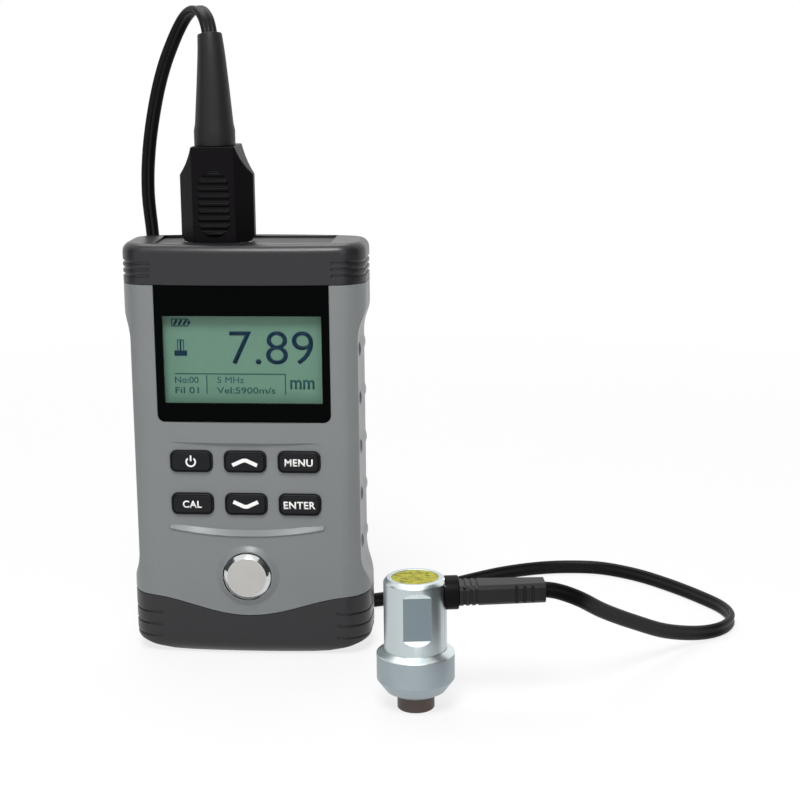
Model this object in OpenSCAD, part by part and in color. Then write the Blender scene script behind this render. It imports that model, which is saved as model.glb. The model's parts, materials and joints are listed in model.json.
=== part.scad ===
// Hand-held ultrasonic thickness gauge with its dual-element probe on a twin lead.
// Frame: X to the right, Y away from the front face, Z up, origin at the middle of the base.

/* [Case] */
// Width of the case over the end caps
body_w = 76.2; // [70:0.1:84]
// Height of the case
body_h = 132; // [128:0.5:150]
// Depth of the case at its middle
body_d = 30; // [29:0.5:36]
// Radius of the slight crown of the front face
front_r = 280; // [220:10:600]
// Radius of the crown of the back face
rear_r = 150; // [120:10:400]
// Radius of the front corners in plan
front_corner_r = 9; // [7:0.5:11]
// Radius of the rear corners in plan
rear_corner_r = 7; // [5:0.5:9]
// Depth of the finger scoop on each side
waist_inset = 2.5; // [1.5:0.1:3.5]
// Height of the S curve at each end of the scoop
scoop_blend_h = 12; // [9:0.5:14]
// Wall of the shells
wall = 2.6; // [2.4:0.1:3.2]
// Y of the plane where the two shells part
split_y = 1; // [0:0.5:3]
// Height of one grip rib on the scoop
rib_h = 4.7; // [3:0.1:6]
// How far a grip rib stands out
rib_out = 0.6; // [0.3:0.1:1]
// Spacing of the grip ribs
rib_pitch = 15.5; // [10:0.5:18]

/* [Caps] */
// Height of the top cap
top_cap_h = 12.5; // [11:0.5:16]
// Height of the bottom cap at its middle
bottom_cap_h = 13.6; // [11:0.1:16]
// Rise of the bottom cap's edge towards the sides
bottom_cap_rise = 6; // [3:0.5:8]
// Wall of the caps
cap_wall = 1.3; // [1:0.1:1.5]
// Rounding of the top cap's upper edge
top_edge_r = 3; // [2:0.5:5]
// Rounding of the bottom cap's lower edge
bottom_edge_r = 6; // [4:0.5:8]
// Rise of the bowed base towards its two ends
base_bow = 1.4; // [0.8:0.1:1.8]
// Depth of the grip grooves in the caps
groove_d = 0.5; // [0.3:0.1:0.8]

/* [Display] */
// Width of the window
window_w = 54.2; // [50:0.2:56]
// Height of the window
window_h = 42.9; // [40:0.1:46]
// Thickness of the window
window_t = 1.3; // [1:0.1:1.6]
// Width of the visible display
view_w = 49.5; // [44:0.5:50]
// Height of the visible display
view_h = 27.5; // [24:0.5:30]
// Height of the visible display's middle above the window's lower edge
view_up = 19.6; // [18:0.1:22]
// Thickness of the display panel
lcd_t = 2.5; // [2:0.1:3]

/* [Keys] */
// Width of a key
key_w = 13.2; // [11:0.1:14]
// Height of a key
key_h = 6.7; // [5.5:0.1:8]
// Corner radius of a key
key_r = 2; // [1:0.1:2.5]
// Spacing of the key columns
key_pitch_x = 17; // [16:0.1:18]
// Place of the lower key row, as a share of the way from the test disc's ring to the window
key_low_at = 0.336; // [0.32:0.002:0.35]
// Place of the upper key row on that way
key_high_at = 0.682; // [0.67:0.002:0.7]
// How far a key stands out of the keypad floor
key_out = 1.1; // [0.8:0.1:1.5]
// Travel of a key
key_travel = 0.8; // [0.5:0.1:1]
// Place of the upper edge of the keypad floor on that way
keypad_top_at = 0.832; // [0.82:0.002:0.86]
// Place of the lower edge of the keypad floor on that way, at its middle
keypad_low_at = 0.106; // [0.1:0.002:0.12]
// Radius of the arc of that lower edge
keypad_arc_r = 140; // [100:5:250]
// Width of the slope that climbs from the keypad floor to that edge
keypad_ramp = 2.2; // [1.6:0.1:2.6]
// Width of the lip along that arc
lip_w = 1.3; // [1:0.1:2]
// How far the lip stands out of the case
lip_out = 0.5; // [0.3:0.1:0.8]

/* [Zero disc] */
// Diameter of the built-in test disc
disc_d = 15; // [12:0.1:16]
// Height of the test disc's middle
disc_z = 27; // [26:0.5:28]
// How far the disc's face stands out of the case
disc_out = 2.6; // [2:0.1:3.5]
// Width of the raised ring round the disc
disc_ring = 2.3; // [1.8:0.1:2.6]

/* [Batteries] */
// Diameter of a cell
cell_d = 14.2; // [13.5:0.1:14.4]
// Length of a cell without its button
cell_l = 49.2; // [48:0.1:50]
// Height of the cell bay's floor
bay_z = 22.5; // [22:0.5:25]
// Thickness of the battery door
door_t = 1.6; // [1.2:0.1:1.8]

/* [Plug] */
// X of the plug's middle
plug_x = -8.5; // [-12:0.1:8]
// Width of the plug
plug_w = 23; // [21:0.1:25]
// Depth of the plug
plug_d = 15; // [13:0.1:17]
// Height of the plug up to its neck
plug_h = 29.5; // [27:0.1:32]
// Height of the plug's straight part
plug_straight_h = 20.6; // [18:0.1:22]
// Width of the plug's neck
neck_w = 13.6; // [12.8:0.1:15]
// Spacing of the two sockets
socket_pitch = 12; // [11:0.1:13]
// Outer diameter of a plug barrel
barrel_d = 4.9; // [4.5:0.1:5.4]

/* [Probe] */
// X of the probe's axis
probe_x = 55.9; // [52:0.1:62]
// Y of the probe's axis
probe_y = -54.5; // [-60:0.1:-48]
// Turn of the probe about its axis
probe_turn = 8; // [0:1:15]
// Height of the probe
probe_h = 40.3; // [38:0.1:44]
// Diameter of the probe's housing
housing_d = 18.5; // [17:0.1:19]
// Diameter of the collar
collar_d = 23; // [21.5:0.1:25]
// Height of the collar's lower shoulder
collar_low_z = 9.5; // [9:0.1:12]
// Height of the collar's upper shoulder
collar_high_z = 17.4; // [16:0.1:18]
// Diameter of the probe's tip
tip_d = 11; // [10:0.1:12]
// Diameter of the label disc on top
label_d = 13.6; // [12:0.1:14.5]
// Height of the lead's outlet
outlet_z = 35.2; // [34:0.1:35.5]
// Diameter of the gland
gland_d = 10; // [9:0.1:10.4]
// Length of the boot on the outlet
boot_l = 25.3; // [23:0.1:28]

/* [Lead] */
// Width of the twin lead
lead_w = 4.8; // [4:0.1:5.6]
// Thickness of the twin lead
lead_t = 2.4; // [2:0.1:2.8]

/* [Hidden] */
$fn = 64;
slip = 0.1;         // clearance between pieces that slide or nest
fit = 0.05;         // radial clearance of a plug in its socket
seat = 0.2;         // gap under a piece that is held by its neighbours
far = 200;          // longer than any cut needs
half_w = body_w / 2;
front_y = -body_d / 2;
rear_y = body_d / 2;
waist_x = half_w - waist_inset;
spigot_in = cap_wall + slip;
top_z = body_h - top_cap_h;
floor_rise = 1.5 * base_bow;
spigot_low_z = floor_rise + bottom_edge_r + seat;
scoop_low_z = bottom_cap_h + bottom_cap_rise + 1.2;
scoop_high_z = top_z - 5.7;
blend_r = (pow(scoop_blend_h / 2, 2) + pow(waist_inset / 2, 2)) / waist_inset;
blend_a = asin(scoop_blend_h / 2 / blend_r);
rib_mid_z = (scoop_low_z + scoop_high_z) / 2;
rib_count = 5;
rib_y = [-6, 8];

// Planes of the stack behind the front face
pocket_y = front_y + 1.1;
frame_y = pocket_y + window_t;
lcd_y = frame_y + 1.8;
holder_y = lcd_y + lcd_t + slip;
holder_t = 2;
board_y = holder_y + holder_t + slip;
board_t = 1.6;
board_back_y = board_y + board_t;
bay_wall = 1.2;
bay_floor_y = board_back_y + seat;
cell_y = bay_floor_y + bay_wall + 0.3 + cell_d / 2;

window_z = top_z - slip - window_h;
window_r = 2.3;
view_z = window_z + view_up;
lcd_margin = 1.1;
frame_lip = 0.4;
frame_edge = 1.2;
face_low_z = disc_z + disc_d / 2 + disc_ring;
face_h = window_z - face_low_z;
key_low_z = face_low_z + key_low_at * face_h;
key_high_z = face_low_z + key_high_at * face_h;
keypad_top_z = face_low_z + keypad_top_at * face_h;
keypad_low_z = face_low_z + keypad_low_at * face_h;
boss_d = 5.6;
boss_x = waist_x - wall - boss_d / 2 - 0.5;
boss_z = [36, scoop_high_z - 14];
board_gap = 0.5;
board_w = 2 * (boss_x - boss_d / 2 - board_gap);
board_low_z = 30;
board_high_z = top_z - 3.5;
post_x = board_w / 2 - 2.4;
post_z = [face_low_z + 1.8, window_z - 3.5];
post_d = 4;
post_hole_d = 1.9;
board_screw_in = 3.5;
board_head_d = 3.4;
board_head_h = 1.2;
screw_d = 2.2;
screw_head_d = 4.6;
screw_head_h = 2;
screw_sink = 6;
screw_short = 3;
cross_w = 1.4;
cross_t = 0.3;

key_back_y = pocket_y + 2.5;
key_flange = 0.9;
key_flange_t = 0.9;
key_names = [["power", -1, 1], ["up", 0, 1], ["menu", 1, 1], ["cal", -1, 0], ["down", 0, 0], ["enter", 1, 0]];
stem_d = 3.5;
switch_w = 6;
switch_t = 1.5;
actuator_d = 3.2;
actuator_h = 0.7;
actuator_y = board_y - switch_t - actuator_h;
stem_end_y = actuator_y - key_travel - slip;
keypad_half_w = 26;
lip_half_w = keypad_half_w - 1.5;
bowl_h = 6;

disc_head = 2.4;
disc_stud_d = 6;
disc_stud_over = 1.6;
disc_nut_d = 11;
disc_nut_h = 2.4;
ring_out = 1.2;
ring_rim = 0.6;
disc_edge = 1.2;

cell_x = cell_d / 2 + 0.4;
button_d = 5.5;
button_h = 1;
contact_t = 0.4;
contact_gap = 2.2;
bump_root_d = 7;
bump_tip_d = 3.4;
bay_half_w = cell_d + 1.2;
bay_high_z = bay_z + cell_l + button_h + 2 * (contact_t + contact_gap);
door_lap = 1.6;
door_half_w = bay_half_w + door_lap;
door_low_z = bay_z - door_lap - 1;
door_high_z = bay_high_z + door_lap + 1;
spring_wire = 0.8;

panel_top_z = body_h - 0.8;
panel_low_z = body_h - 3;
panel_half_w = 27.5;
panel_half_d = 9.2;
panel_flange_t = 0.9;
flange_top_z = body_h - 0.4;
socket_d = 7.6;
socket_flange_d = 9.6;
socket_depth = 10.5;
socket_floor = 1.5;
socket_nut_d = 11;
socket_nut_h = 1.8;
contact_d = 2.4;
contact_root = 0.5;
contact_short = 2;
pin_d = 0.9;
plug_z = flange_top_z;
barrel_in = 7;
boot_h = 33.6;
boot_base_d = 12.7;
boot_top_d = 8;
boot_band_h = 4.6;
boot_step = 0.5;

housing_low_z = collar_low_z + 0.4;
outlet_r = housing_d / 2 - 1;
gland_l = 4.4;
label_sink = 0.8;
flat_sink = 0.95;

// Middle line of the lead's moulded boot on the plug: x, y, height above the neck
boot_line = [[-8.9, 0, 0.05], [-8.9, 0, 2.3], [-8.9, 0, 4.6], [-8.95, 0.1, 12], [-9.1, 0.5, 20],
    [-9.4, 1.3, 28], [-9.9, 2.3, 33.6]];

// Route of the lead: x, y, z and the heading of its width, from the plug to the probe
route = [
    [-10.1, 2.5, 195.9, 4], [-11.7, 5.5, 199.8, 10], [-14.3, 9.6, 202, 18], [-17.7, 14.1, 201.6, 28],
    [-21.1, 17.5, 198.5, 36], [-24.7, 19.2, 192.3, 41], [-28.2, 18.7, 183.4, 44], [-31.4, 19.2, 172, 46],
    [-34, 20, 158, 48],
    [-35, 20.8, 144, 52], [-34, 21.4, 126, 58], [-34.6, 22, 100, 66], [-33.4, 22.8, 72, 74],
    [-31.4, 24.2, 46, 80], [-28, 26, 26, 85], [-22.6, 28.2, 12, 90], [-14, 30, 4.2, 93],
    [-2, 31.2, 1.4, 94], [16, 32, 1.3, 96], [35.5, 35, 1.3, 106], [52, 45.4, 1.3, 126],
    [67, 58.6, 1.3, 129], [79, 67.8, 1.3, 122], [92, 74, 1.3, 107], [104, 76, 1.3, 92],
    [115, 74.6, 1.3, 74], [127, 67.2, 1.3, 51], [138, 55.8, 1.3, 41], [147, 44, 1.3, 37],
    [153.6, 33, 1.3, 22], [155.6, 22, 1.4, -6], [151.6, 12, 1.8, -40], [143.4, 4.2, 3.2, -48],
    [132, -8.6, 8.6, -42], [121.4, -21.8, 16, -42], [111.4, -35, 24, -46], [104.2, -44.3, 30.7, -58],
    [98.4, -47.8, 34, -76], [93.9, -49.15, 35.2, -82]
];
route_steps = 2;

// Points of an arc round [x, y]
function arc(x, y, r, a0, a1, n) =
    [for (i = [0:n]) let (a = a0 + (a1 - a0) * i / n) [x + r * cos(a), y + r * sin(a)]];

// A list and its mirror image in X, as one closed outline
function both_sides(right) = concat(right, [for (i = [len(right) - 1:-1:0]) [-right[i][0], right[i][1]]]);

// Smooth value at step t of the stretch between b and c
function blend(a, b, c, d, t) =
    b + 0.5 * t * (c - a + t * (2 * a - 5 * b + 4 * c - d + t * (3 * (b - c) + d - a)));

function clamp(i, n) = max(0, min(n - 1, i));

// A list of points made smooth, with n steps for each stretch
function smooth(p, n) = [
    for (i = [0:len(p) - 2], s = [0:n - 1])
        blend(p[clamp(i - 1, len(p))], p[i], p[i + 1], p[clamp(i + 2, len(p))], s / n),
    p[len(p) - 1]
];

function unit(v) = v / norm(v);

function tangent(p, i) = unit(p[clamp(i + 1, len(p))] - p[clamp(i - 1, len(p))]);

// Closed tube through rings of points
module skin(rings) {
    sides = len(rings[0]);
    last = len(rings) - 1;
    points = [for (r = rings, p = r) p];
    walls = [
        for (i = [0:last - 1], k = [0:sides - 1]) let (a = i * sides + k, b = i * sides + (k + 1) % sides)
            each [[a, b + sides, b], [a, a + sides, b + sides]]
    ];
    ends = [[for (k = [0:sides - 1]) k], [for (k = [sides - 1:-1:0]) last * sides + k]];
    polyhedron(points, concat(walls, ends));
}

// Ring of n points round p, across t, with half sizes a along the level direction w and b across it
function ring(p, t, w, a, b, n) =
    let (across = unit(w - (w * t) * t), up = cross(across, t))
    [for (k = [0:n - 1]) p + a * cos(360 * k / n) * across - b * sin(360 * k / n) * up];

// Section of the case, set in from its outside: two crowns and four round corners
front_cy = front_y + front_r;
front_cx = half_w - front_corner_r;
front_corner_y = front_cy - sqrt(pow(front_r - front_corner_r, 2) - front_cx * front_cx);
front_a = atan2(front_corner_y - front_cy, front_cx);
rear_cy = rear_y - rear_r;
rear_cx = half_w - rear_corner_r;
rear_corner_y = rear_cy + sqrt(pow(rear_r - rear_corner_r, 2) - rear_cx * rear_cx);
rear_a = atan2(rear_corner_y - rear_cy, rear_cx);
function half_plan(inset) = concat(
    arc(0, front_cy, front_r - inset, -89, front_a - 1, 4),
    arc(front_cx, front_corner_y, front_corner_r - inset, front_a, 0, 8),
    arc(rear_cx, rear_corner_y, rear_corner_r - inset, 0.5, rear_a, 7),
    arc(0, rear_cy, rear_r - inset, rear_a + 2, 88, 5));

module plan(inset = 0) {
    polygon(both_sides(half_plan(inset)));
}

// Front view of the case between its caps, with the finger scoops
module scooped_outline(inset = 0) {
    cx = half_w - blend_r;
    wx = waist_x + blend_r;
    polygon(both_sides(concat(
        [[half_w - inset, -far], [half_w - inset, scoop_low_z]],
        arc(cx, scoop_low_z, blend_r - inset, 0, blend_a, 5),
        arc(wx, scoop_low_z + scoop_blend_h, blend_r + inset, 180 + blend_a, 180, 5),
        arc(wx, scoop_high_z - scoop_blend_h, blend_r + inset, 180, 180 - blend_a, 5),
        arc(cx, scoop_high_z, blend_r - inset, -blend_a, 0, 5),
        [[half_w - inset, far]])));
}

// Something drawn in the front view, made through in Y
module from_front() {
    rotate([90, 0, 0]) linear_extrude(2 * far, center = true) children();
}

// Box between two corners
module block(a, b) {
    translate(a) cube(b - a);
}

// Round bar along Y
module bar_y(x, z, d, y0, y1) {
    translate([x, y0, z]) rotate([-90, 0, 0]) cylinder(d = d, h = y1 - y0);
}

// Rectangle with round corners, standing in the front view
module round_plate(w, h, r, y0, y1) {
    translate([0, y1, 0]) rotate([90, 0, 0]) linear_extrude(y1 - y0) {
        square([w - 2 * r, h], center = true);
        square([w, h - 2 * r], center = true);
        for (x = [-1, 1], z = [-1, 1]) translate([x * (w / 2 - r), z * (h / 2 - r)]) circle(r);
    }
}

// Long body of the case, without its ends
module barrel_form(inset, z0, z1) {
    intersection() {
        translate([0, 0, z0]) linear_extrude(z1 - z0) plan(inset);
        from_front() scooped_outline(inset);
    }
}

// Ribs for the fingers on both scoops
module grip_ribs() {
    r = (pow(rib_h / 2, 2) + rib_out * rib_out) / (2 * rib_out);
    a = asin(rib_h / 2 / r);
    for (side = [0, 1], i = [0:rib_count - 1])
        mirror([side, 0, 0])
            translate([waist_x + rib_out - r, rib_y[1], rib_mid_z + (i - (rib_count - 1) / 2) * rib_pitch])
                rotate([90, 0, 0])
                    linear_extrude(rib_y[1] - rib_y[0])
                        polygon(concat([[r - rib_out - 1, -rib_h / 2]], arc(0, 0, r, -a, a, 6),
                            [[r - rib_out - 1, rib_h / 2]]));
}

// Outline that lies over the bottom cap's wavy edge
module above_wave(lift) {
    steps = 12;
    step = 0.9 * half_w / steps;
    low = bottom_cap_h + lift;
    wave = [for (i = [0:steps]) [i * step, low + bottom_cap_rise * (1 - cos(180 * i / steps)) / 2]];
    top = low + bottom_cap_rise;
    polygon(both_sides(concat([[0, far]], wave, [[half_w + 2, top + 0.6], [half_w + 2, far]])));
}

// Outline that lies over the bowed base, which is flat in the middle to stand on
module above_base() {
    flat = 0.36 * half_w;
    reach = 0.34 * half_w;
    bow = [for (i = [0:8]) let (x = (half_w - flat) * i / 8) [flat + x, base_bow * pow(x / reach, 2)]];
    side = half_w + 2;
    polygon(both_sides(concat(bow, [[side, bow[8][1]], [side, far]])));
}

// The two shells together, before they are parted
module shells() {
    difference() {
        union() {
            intersection() {
                barrel_form(0, 0, top_z - slip);
                from_front() above_wave(slip);
            }
            barrel_form(spigot_in, spigot_low_z, panel_low_z);
            grip_ribs();
        }
        barrel_form(wall, -1, body_h);
    }
}

module front_half() {
    block([-far, -far, -far], [far, split_y, far]);
}

module display_cut() {
    translate([0, 0, window_z + window_h / 2])
        round_plate(window_w + 2 * slip, window_h + 2 * slip, window_r, -far, frame_y);
    translate([0, 0, window_z + window_h + far / 2])
        round_plate(window_w + 2 * slip, far + 4 * window_r, 1, -far, frame_y);
    block([-view_w / 2 - frame_lip, -far, view_z - view_h / 2 - frame_lip],
        [view_w / 2 + frame_lip, 0, view_z + view_h / 2 + frame_lip]);
}

// Shallow cone whose rim has the radius r at the lip, and which narrows to the keypad floor
module keypad_bowl(r) {
    slope = keypad_ramp / (pocket_y - front_y + lip_out);
    translate([0, pocket_y, keypad_low_z + keypad_arc_r]) rotate([90, 0, 0])
        cylinder(r1 = r - keypad_ramp, r2 = r - keypad_ramp + slope * bowl_h, h = bowl_h, $fn = 256);
}

// Flat floor of the keypad, with an arched lower edge that slopes
module keypad_cut() {
    intersection() {
        block([-keypad_half_w, -far, 0], [keypad_half_w, pocket_y, keypad_top_z]);
        keypad_bowl(keypad_arc_r);
    }
}

// Raised lip along the keypad's lower edge
module keypad_lip() {
    intersection() {
        difference() {
            barrel_form(-lip_out, 0, top_z);
            barrel_form(wall / 2, -1, body_h);
        }
        from_front() translate([0, keypad_low_z + keypad_arc_r]) difference() {
            circle(keypad_arc_r + lip_w, $fn = 256);
            circle(keypad_arc_r, $fn = 256);
        }
        block([-lip_half_w, -far, 0], [lip_half_w, 0, keypad_top_z]);
    }
}

// Raised cone round the test disc, carried on into the wall
module disc_seat() {
    slope = (disc_ring - ring_rim) / ring_out;
    deep = wall / 2;
    translate([0, front_y + deep, disc_z]) rotate([90, 0, 0])
        cylinder(r1 = disc_d / 2 + disc_ring + slope * deep, r2 = disc_d / 2 + ring_rim, h = ring_out + deep);
}

module key_at(column, row) {
    translate([column * key_pitch_x, 0, row == 1 ? key_high_z : key_low_z]) children();
}

module front_shell() color("#84888a") {
    difference() {
        union() {
            intersection() {
                shells();
                front_half();
            }
            intersection() {
                union() {
                    block([-window_w / 2 - frame_edge, frame_y, window_z - frame_edge],
                        [window_w / 2 + frame_edge, lcd_y - slip, panel_low_z]);
                    block([-keypad_half_w, front_y + 2, keypad_low_z + 2],
                        [keypad_half_w, key_back_y, keypad_top_z]);
                    for (x = [-1, 1], z = boss_z) bar_y(x * boss_x, z, boss_d, front_y, split_y);
                    for (x = [-1, 1], z = post_z) bar_y(x * post_x, z, post_d, front_y, board_y);
                }
                barrel_form(wall - 0.5, 0, panel_low_z);
            }
            keypad_lip();
            disc_seat();
        }
        display_cut();
        keypad_cut();
        for (k = key_names) key_at(k[1], k[2])
            round_plate(key_w + 2 * slip, key_h + 2 * slip, key_r + slip, -far, 0);
        for (x = [-1, 1], z = boss_z) bar_y(x * boss_x, z, screw_d + slip, front_y + wall, far);
        for (x = [-1, 1], z = post_z)
            bar_y(x * post_x, z, post_hole_d, board_y - board_screw_in - 5 * slip, far);
        bar_y(0, disc_z, disc_d + 2 * slip, -far, front_y - disc_out + disc_head);
        bar_y(0, disc_z, disc_stud_d + 2 * slip, -far, 0);
    }
}

module rear_shell() color("#84888a") {
    difference() {
        union() {
            difference() {
                shells();
                front_half();
            }
            intersection() {
                union() {
                    block([-bay_half_w - bay_wall, bay_floor_y, bay_z - bay_wall],
                        [bay_half_w + bay_wall, far, bay_high_z + bay_wall]);
                    for (x = [-1, 1], z = boss_z) bar_y(x * boss_x, z, boss_d, split_y, far);
                }
                barrel_form(wall - 0.5, 0, panel_low_z);
            }
        }
        block([-bay_half_w, bay_floor_y + bay_wall, bay_z], [bay_half_w, far, bay_high_z]);
        intersection() {
            difference() {
                block([-door_half_w, 0, door_low_z], [door_half_w, far, door_high_z]);
                barrel_form(door_t, 0, panel_low_z);
            }
            block([-far, 0, -far], [far, far, far]);
        }
        for (x = [-1, 1], z = boss_z) {
            bar_y(x * boss_x, z, screw_d + 4 * slip, 0, far);
            bar_y(x * boss_x, z, screw_head_d + 4 * slip, rear_y - screw_sink, far);
        }
    }
}

// End of the case, its section drawn in along a quarter arc to round the edge
module end_form(inset, z_plain, z_end, edge_r) {
    way = z_end > z_plain ? 1 : -1;
    edge = max(edge_r - inset, 0.5);
    stop = z_end - way * inset;
    rings = concat([[for (p = both_sides(half_plan(inset))) [p[0], p[1], z_plain]]], [
        for (i = [0:5]) let (a = 90 * i / 5, z = stop - way * edge * (1 - sin(a)))
            [for (p = both_sides(half_plan(inset + edge * (1 - cos(a))))) [p[0], p[1], z]]
    ]);
    skin(way > 0 ? rings : [for (i = [len(rings) - 1:-1:0]) rings[i]]);
}

// Grooves round both narrow ends of a cap
module cap_grooves(heights) {
    for (z = heights) translate([0, 0, z]) difference() {
        linear_extrude(0.9) difference() {
            plan(-1);
            plan(groove_d);
        }
        block([-half_w + 10, -far, -1], [half_w - 10, far, 2]);
    }
}

module top_cap() color("#3a3a3c") {
    difference() {
        end_form(0, top_z, body_h, top_edge_r);
        end_form(cap_wall, top_z - 1, body_h, top_edge_r);
        cap_grooves([for (i = [0:2]) top_z + 2.2 + 2 * i]);
        block([-panel_half_w, -panel_half_d, panel_low_z], [panel_half_w, panel_half_d, far]);
    }
}

module bottom_cap() color("#38353a") {
    difference() {
        intersection() {
            end_form(0, bottom_cap_h + bottom_cap_rise + 2, 0, bottom_edge_r);
            from_front() above_base();
        }
        end_form(cap_wall, bottom_cap_h + bottom_cap_rise + 3, floor_rise, bottom_edge_r);
        from_front() above_wave(0);
        cap_grooves([for (i = [0:2]) bottom_edge_r - 0.4 + 4 * i]);
    }
}

module at_socket(side) {
    translate([plug_x + side * socket_pitch / 2, 0, 0]) children();
}

module connector_panel() color("#2c2c2e") {
    difference() {
        union() {
            translate([0, 0, panel_low_z]) {
                linear_extrude(panel_flange_t) plan(spigot_in + 4 * slip);
                linear_extrude(body_h - cap_wall - slip - panel_low_z) plan(spigot_in + top_edge_r / 2);
            }
            block([-panel_half_w + slip, -panel_half_d + slip, panel_low_z],
                [panel_half_w - slip, panel_half_d - slip, panel_top_z]);
        }
        for (side = [-1, 1]) at_socket(side) cylinder(d = socket_d + 2 * fit, h = far);
    }
}

module probe_socket(side) color("silver") at_socket(side) {
    bore_z = flange_top_z - socket_depth;
    difference() {
        union() {
            translate([0, 0, panel_top_z]) cylinder(d = socket_flange_d, h = flange_top_z - panel_top_z);
            translate([0, 0, bore_z - socket_floor]) cylinder(d = socket_d, h = socket_depth + socket_floor);
        }
        translate([0, 0, bore_z]) cylinder(d = barrel_d + 2 * fit, h = far);
    }
    translate([0, 0, bore_z - contact_root]) difference() {
        cylinder(d = contact_d, h = socket_depth - contact_short + contact_root);
        translate([0, 0, 2 * contact_root]) cylinder(d = pin_d + 2 * fit, h = far);
    }
}

module probe_socket_left() probe_socket(-1);

module probe_socket_right() probe_socket(1);

module socket_nuts() color("silver")
    for (side = [-1, 1]) at_socket(side) translate([0, 0, panel_low_z - socket_nut_h]) difference() {
        cylinder(d = socket_nut_d, h = socket_nut_h, $fn = 6);
        translate([0, 0, -1]) cylinder(d = socket_d + 2 * fit, h = far);
    }

module display_window() color("#101012")
    translate([0, 0, window_z + window_h / 2]) {
        round_plate(window_w, window_h, window_r - slip, pocket_y, frame_y);
        block([-window_w / 2, pocket_y, 0], [window_w / 2, frame_y, window_h / 2]);
    }

module lcd_panel() color("#6f9a86")
    block([-view_w / 2 - lcd_margin, lcd_y, view_z - view_h / 2 - lcd_margin],
        [view_w / 2 + lcd_margin, lcd_y + lcd_t, view_z + view_h / 2 + lcd_margin]);

module lcd_holder() color("#d8d8d4") {
    rim = 0.8;
    w = view_w / 2 + lcd_margin + slip;
    h = view_h / 2 + lcd_margin + slip;
    difference() {
        block([-w - rim, lcd_y + 0.6, view_z - h - rim], [w + rim, holder_y + holder_t, view_z + h + rim]);
        block([-w, 0, view_z - h] - [0, far, 0], [w, holder_y, view_z + h]);
        block([-w + 4, -far, view_z - h + 4], [w - 4, far, view_z + h - 4]);
    }
}

module main_board() color("#1f5c3a") difference() {
    block([-board_w / 2, board_y, board_low_z], [board_w / 2, board_back_y, board_high_z]);
    for (x = [-1, 1], z = post_z) bar_y(x * post_x, z, post_hole_d + 4 * slip, -far, far);
}

module key_switches() color("#202024")
    for (k = key_names) key_at(k[1], k[2]) {
        block([-switch_w / 2, board_y - switch_t, -switch_w / 2], [switch_w / 2, board_y, switch_w / 2]);
        bar_y(0, 0, actuator_d, actuator_y, board_y - switch_t);
    }

module board_screws() color("silver")
    for (x = [-1, 1], z = post_z) {
        bar_y(x * post_x, z, post_hole_d - slip, board_y - board_screw_in, board_back_y + board_head_h / 2);
        bar_y(x * post_x, z, board_head_d, board_back_y, board_back_y + board_head_h);
    }

module case_screws() color("#55585c")
    for (x = [-1, 1], z = boss_z) {
        bar_y(x * boss_x, z, screw_d, front_y + wall + screw_short, rear_y - screw_sink + screw_head_h / 2);
        difference() {
            bar_y(x * boss_x, z, screw_head_d, rear_y - screw_sink, rear_y - screw_sink + screw_head_h);
            for (a = [0, 90])
                translate([x * boss_x, rear_y - screw_sink + screw_head_h / 2, z]) rotate([0, a, 0])
                    block([-cross_w, 0, -cross_t], [cross_w, screw_head_h, cross_t]);
        }
    }

module key(name) color("#1c1c1e")
    for (k = key_names) if (k[0] == name) key_at(k[1], k[2]) {
        round_plate(key_w - 0.8, key_h - 0.8, key_r - 0.4, pocket_y - key_out, pocket_y - key_out + 0.4);
        round_plate(key_w, key_h, key_r, pocket_y - key_out + 0.4, key_back_y + slip);
        round_plate(key_w + 2 * key_flange, key_h + 2 * key_flange, key_r,
            key_back_y + slip, key_back_y + slip + key_flange_t);
        bar_y(0, 0, stem_d, key_back_y + slip + key_flange_t, stem_end_y);
    }

module key_power() key("power");

module key_up() key("up");

module key_menu() key("menu");

module key_cal() key("cal");

module key_down() key("down");

module key_enter() key("enter");

module test_disc() color("#c9c9c6") translate([0, 0, disc_z]) rotate([-90, 0, 0]) rotate_extrude() {
    face = front_y - disc_out;
    r = disc_d / 2;
    stud_end = front_y + wall + disc_nut_h + disc_stud_over;
    polygon([[0, face], [r - disc_edge, face], [r, face + disc_edge], [r, face + disc_head],
        [disc_stud_d / 2, face + disc_head], [disc_stud_d / 2, stud_end], [0, stud_end]]);
}

module test_disc_nut() color("silver")
    translate([0, front_y + wall + slip, disc_z]) rotate([-90, 0, 0]) difference() {
        cylinder(d = disc_nut_d, h = disc_nut_h, $fn = 6);
        translate([0, 0, -1]) cylinder(d = disc_stud_d + 2 * fit, h = far);
    }

// A cell with its button up or down
module cell(side, up) color("#3d6b8c") {
    low_z = bay_z + contact_t + contact_gap + (up ? 0 : button_h);
    translate([side * cell_x, cell_y, low_z]) {
        cylinder(d = cell_d, h = cell_l);
        translate([0, 0, up ? cell_l : -button_h]) cylinder(d = button_d, h = button_h);
    }
}

module battery_left() cell(-1, true);

module battery_right() cell(1, false);

// Flat contact on an end wall of the bay
module contact_plate(x0, x1, z) {
    block([x0, cell_y - 5.5, z], [x1, cell_y + 5.5, z + contact_t]);
}

// Cone-shaped coil that presses on a cell's flat end
module coil(x, z0, z1) {
    steps = 42;
    turns = 3;
    wide_r = 4.6;
    narrow_r = 2.6;
    line = [
        for (i = [0:steps]) let (t = i / steps, a = 360 * turns * t, r = wide_r + (narrow_r - wide_r) * t)
            [x + r * cos(a), cell_y + r * sin(a), z0 + (z1 - z0) * t]
    ];
    skin([for (i = [0:steps]) let (a = 360 * turns * i / steps)
        ring(line[i], tangent(line, i), [cos(a), sin(a), 0], spring_wire / 2, spring_wire / 2, 6)]);
}

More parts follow.
